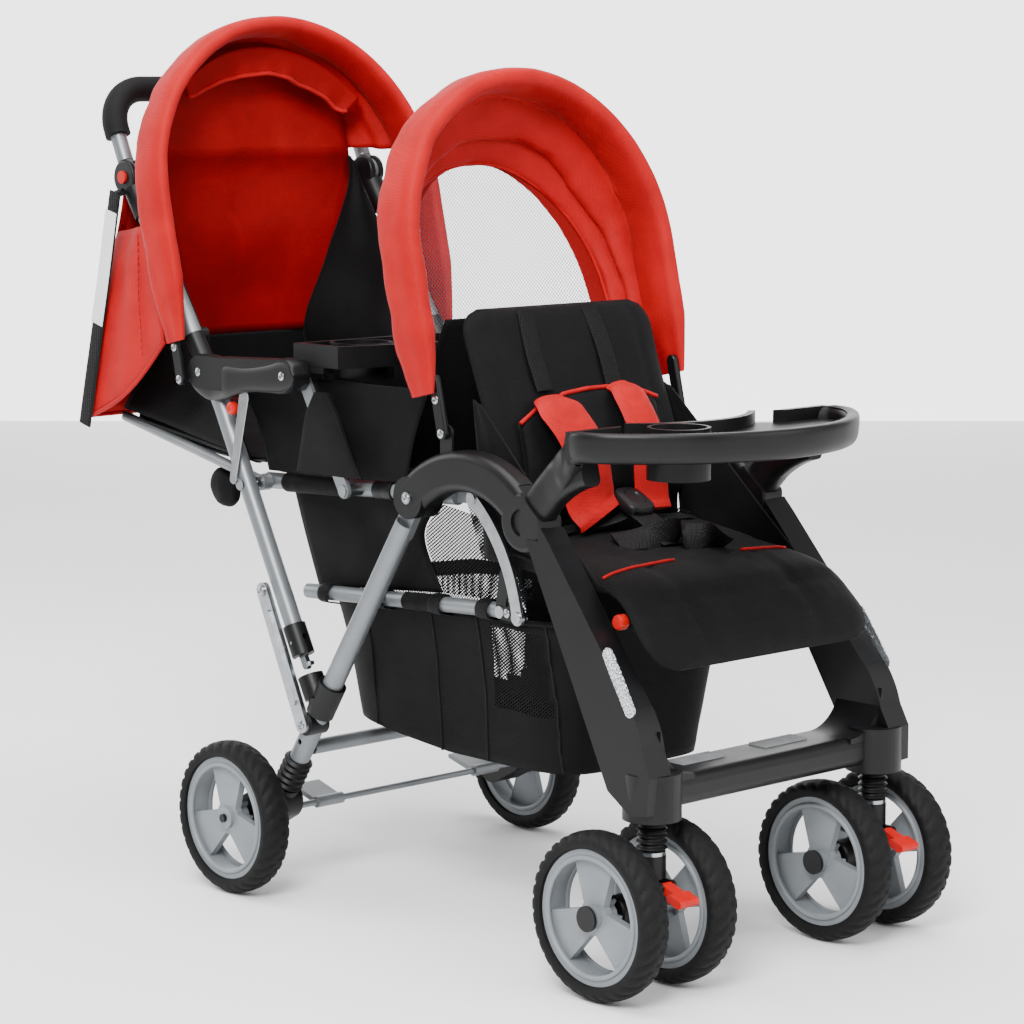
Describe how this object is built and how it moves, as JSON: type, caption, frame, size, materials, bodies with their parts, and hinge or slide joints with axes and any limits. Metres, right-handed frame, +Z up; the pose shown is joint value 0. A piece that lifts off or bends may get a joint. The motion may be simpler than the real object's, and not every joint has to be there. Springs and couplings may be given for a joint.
{
  "type": "tandem stroller",
  "caption": "Folding tandem stroller with two seats in line, two hoop canopies, front and rear trays, a basket and swivelling twin front wheels.",
  "frame": {"origin": "on the floor, under the middle of the bounding box", "axes": "+X forward, +Y to the riders' left, +Z up"},
  "size_m": [1.06, 0.52, 1.0493],
  "materials": {
    "black_plastic": "satin moulded",
    "silver_tube": "silver powder coat on steel tube",
    "steel": "zinc plated",
    "red_plastic": "moulded",
    "grey_plastic": "satin moulded",
    "dark_metal": "black paint",
    "tyre_foam": "matt EVA foam",
    "boot_rubber": "ribbed, matt",
    "grip_foam": "closed foam",
    "red_cloth": "woven polyester",
    "black_cloth": "woven polyester, padded"
  },
  "bodies": {
    "seat_frame": {"footrest_frame": "black_plastic", "arch_right": "black_plastic", "arch_left": "black_plastic", "seat_rails": "silver_tube", "side_rails": "silver_tube", "curved_links": "steel", "link_plates": "black_plastic", "frame_rivets": "steel", "front_seat": "black_cloth", "rear_seat": "black_cloth", "basket": "black_cloth", "front_canopy": "red_cloth", "front_boots": "boot_rubber"},
    "rear_leg_frame": {"rear_legs": "silver_tube", "rear_cross_tube": "silver_tube", "leg_brackets": "black_plastic", "rear_boots": "boot_rubber"},
    "latch_bar_pair": {"latch_bars": "steel"},
    "push_frame": {"push_tubes": "silver_tube", "push_collars": "black_plastic", "handle_knuckles": "black_plastic", "rear_canopy_hinges": "black_plastic", "wrist_strap": "black_cloth", "rear_canopy": "red_cloth"},
    "hook_pair": {"latch_hooks": "steel"},
    "handle": {"handle_tube": "silver_tube", "handle_grip": "grip_foam"},
    "button_right": {"knuckle_button_right": "red_plastic"},
    "button_left": {"knuckle_button_left": "red_plastic"},
    "armrest_pair": {"armrests": "black_plastic"},
    "strut_pair": {"armrest_struts": "silver_tube"},
    "rear_tray_body": {"rear_tray": "black_plastic"},
    "front_tray_body": {"front_tray": "black_plastic"},
    "front_bow": {"front_canopy_bow": "red_cloth"},
    "rear_bow": {"rear_canopy_bow": "red_cloth"},
    "front_back": {"front_backrest": "black_cloth"},
    "rear_back": {"rear_backrest": "black_cloth", "rear_back_tube": "silver_tube"},
    "rear_carriage": {"rear_axle_housings": "black_plastic"},
    "brake": {"brake_bar": "steel"},
    "stem_right": {"caster_stem_right": "steel"},
    "fork_right": {"caster_fork_right": "black_plastic", "caster_axle_right": "dark_metal"},
    "lever_right": {"caster_lever_right": "red_plastic"},
    "wheel_right_outer": {"rim_right_outer": "grey_plastic", "tyre_right_outer": "tyre_foam"},
    "wheel_right_inner": {"rim_right_inner": "grey_plastic", "tyre_right_inner": "tyre_foam"},
    "rear_wheel_right": {"rear_rim_right": "grey_plastic", "rear_tyre_right": "tyre_foam"},
    "stem_left": {"caster_stem_left": "steel"},
    "fork_left": {"caster_fork_left": "black_plastic", "caster_axle_left": "dark_metal"},
    "lever_left": {"caster_lever_left": "red_plastic"},
    "wheel_left_outer": {"rim_left_outer": "grey_plastic", "tyre_left_outer": "tyre_foam"},
    "wheel_left_inner": {"rim_left_inner": "grey_plastic", "tyre_left_inner": "tyre_foam"},
    "rear_wheel_left": {"rear_rim_left": "grey_plastic", "rear_tyre_left": "tyre_foam"}
  },
  "joints": [
    {"name": "fold", "type": "hinge", "parent": "seat_frame", "child": "push_frame", "pos_m": [-0.2125, 0, 0.491], "axis": [0, 1, 0], "range_deg": [0, 30]},
    {"name": "armrest_turn", "type": "hinge", "parent": "push_frame", "child": "armrest_pair", "pos_m": [-0.28942, 0, 0.6221], "axis": [0, 1, 0], "range_deg": [-31, 1]},
    {"name": "strut_turn", "type": "hinge", "parent": "seat_frame", "child": "strut_pair", "pos_m": [-0.0405, 0, 0.49796], "axis": [0, 1, 0], "range_deg": [-1, 31]},
    {"name": "rear_leg_turn", "type": "hinge", "parent": "seat_frame", "child": "rear_leg_frame", "pos_m": [0.084, 0, 0.503], "axis": [0, 1, 0], "range_deg": [-1, 7]},
    {"name": "latch_bar_turn", "type": "hinge", "parent": "rear_leg_frame", "child": "latch_bar_pair", "pos_m": [-0.09006, 0, 0.2156], "axis": [0, 1, 0], "range_deg": [-24, 1]},
    {"name": "latch_hook_release", "type": "hinge", "parent": "push_frame", "child": "hook_pair", "pos_m": [-0.11626, 0, 0.31], "axis": [0, -1, 0], "range_deg": [0, 15], "stiffness_Nm_per_rad": 0.6, "springref_deg": -11.46},
    {"name": "handle_turn", "type": "hinge", "parent": "push_frame", "child": "handle", "pos_m": [-0.444, 0, 0.85403], "axis": [0, -1, 0], "range_deg": [0, 60]},
    {"name": "button_right_press", "type": "slide", "parent": "push_frame", "child": "button_right", "axis": [0, 1, 0], "range_m": [0, 0.003], "stiffness_N_per_m": 500, "springref_m": -0.002},
    {"name": "button_left_press", "type": "slide", "parent": "push_frame", "child": "button_left", "axis": [0, -1, 0], "range_m": [0, 0.003], "stiffness_N_per_m": 500, "springref_m": -0.002},
    {"name": "rear_canopy_swing", "type": "hinge", "parent": "push_frame", "child": "rear_bow", "pos_m": [-0.31626, 0, 0.61159], "axis": [0, -1, 0], "range_deg": [-45, 8], "deforming": ["rear_canopy"]},
    {"name": "front_canopy_swing", "type": "hinge", "parent": "seat_frame", "child": "front_bow", "pos_m": [0.141, 0, 0.581], "axis": [0, -1, 0], "range_deg": [-50, 12], "deforming": ["front_canopy"]},
    {"name": "rear_back_recline", "type": "hinge", "parent": "seat_frame", "child": "rear_back", "pos_m": [-0.2125, 0, 0.491], "axis": [0, 1, 0], "range_deg": [0, 50]},
    {"name": "front_back_recline", "type": "hinge", "parent": "seat_frame", "child": "front_back", "pos_m": [0.186, 0, 0.493], "axis": [0, 1, 0], "range_deg": [-15, 0]},
    {"name": "front_tray_pull", "type": "slide", "parent": "seat_frame", "child": "front_tray_body", "axis": [0.6428, 0, 0.766], "range_m": [0, 0.04]},
    {"name": "rear_tray_lift", "type": "slide", "parent": "armrest_pair", "child": "rear_tray_body", "axis": [0, 0, 1], "range_m": [0, 0.04]},
    {"name": "rear_suspension", "type": "slide", "parent": "rear_leg_frame", "child": "rear_carriage", "axis": [0.518, 0, 0.8554], "range_m": [0, 0.01], "stiffness_N_per_m": 12000, "springref_m": -0.02, "deforming": ["rear_boots"]},
    {"name": "brake_press", "type": "hinge", "parent": "rear_carriage", "child": "brake", "pos_m": [-0.1425, 0, 0.1025], "axis": [0, -1, 0], "range_deg": [0, 20]},
    {"name": "suspension_right", "type": "slide", "parent": "seat_frame", "child": "stem_right", "axis": [0, 0, 1], "range_m": [0, 0.01], "stiffness_N_per_m": 6000, "springref_m": -0.02, "deforming": ["front_boots"]},
    {"name": "swivel_right", "type": "hinge", "parent": "stem_right", "child": "fork_right", "pos_m": [0.4635, -0.179, 0.13], "axis": [0, 0, 1], "continuous": true},
    {"name": "swivel_lock_right", "type": "hinge", "parent": "fork_right", "child": "lever_right", "pos_m": [0.4845, -0.179, 0.124], "axis": [0, -1, 0], "range_deg": [0, 25]},
    {"name": "wheel_right_outer_spin", "type": "hinge", "parent": "fork_right", "child": "wheel_right_outer", "pos_m": [0.4375, 0, 0.0925], "axis": [0, 1, 0], "continuous": true},
    {"name": "wheel_right_inner_spin", "type": "hinge", "parent": "fork_right", "child": "wheel_right_inner", "pos_m": [0.4375, 0, 0.0925], "axis": [0, 1, 0], "continuous": true},
    {"name": "rear_wheel_right_spin", "type": "hinge", "parent": "rear_carriage", "child": "rear_wheel_right", "pos_m": [-0.1865, 0, 0.0925], "axis": [0, 1, 0], "continuous": true},
    {"name": "suspension_left", "type": "slide", "parent": "seat_frame", "child": "stem_left", "axis": [0, 0, 1], "range_m": [0, 0.01], "stiffness_N_per_m": 6000, "springref_m": -0.02, "deforming": ["front_boots"]},
    {"name": "swivel_left", "type": "hinge", "parent": "stem_left", "child": "fork_left", "pos_m": [0.4635, 0.179, 0.13], "axis": [0, 0, 1], "continuous": true},
    {"name": "swivel_lock_left", "type": "hinge", "parent": "fork_left", "child": "lever_left", "pos_m": [0.4845, 0.179, 0.124], "axis": [0, -1, 0], "range_deg": [0, 25]},
    {"name": "wheel_left_outer_spin", "type": "hinge", "parent": "fork_left", "child": "wheel_left_outer", "pos_m": [0.4375, 0, 0.0925], "axis": [0, 1, 0], "continuous": true},
    {"name": "wheel_left_inner_spin", "type": "hinge", "parent": "fork_left", "child": "wheel_left_inner", "pos_m": [0.4375, 0, 0.0925], "axis": [0, 1, 0], "continuous": true},
    {"name": "rear_wheel_left_spin", "type": "hinge", "parent": "rear_carriage", "child": "rear_wheel_left", "pos_m": [-0.1865, 0, 0.0925], "axis": [0, 1, 0], "continuous": true}
  ],
  "couplings": [
    {"joint": "armrest_turn", "follows": "fold", "ratio": -1},
    {"joint": "strut_turn", "follows": "fold", "ratio": 1},
    {"joint": "rear_leg_turn", "follows": "fold", "ratio": 0.1892},
    {"joint": "latch_bar_turn", "follows": "fold", "ratio": -0.7442}
  ]
}
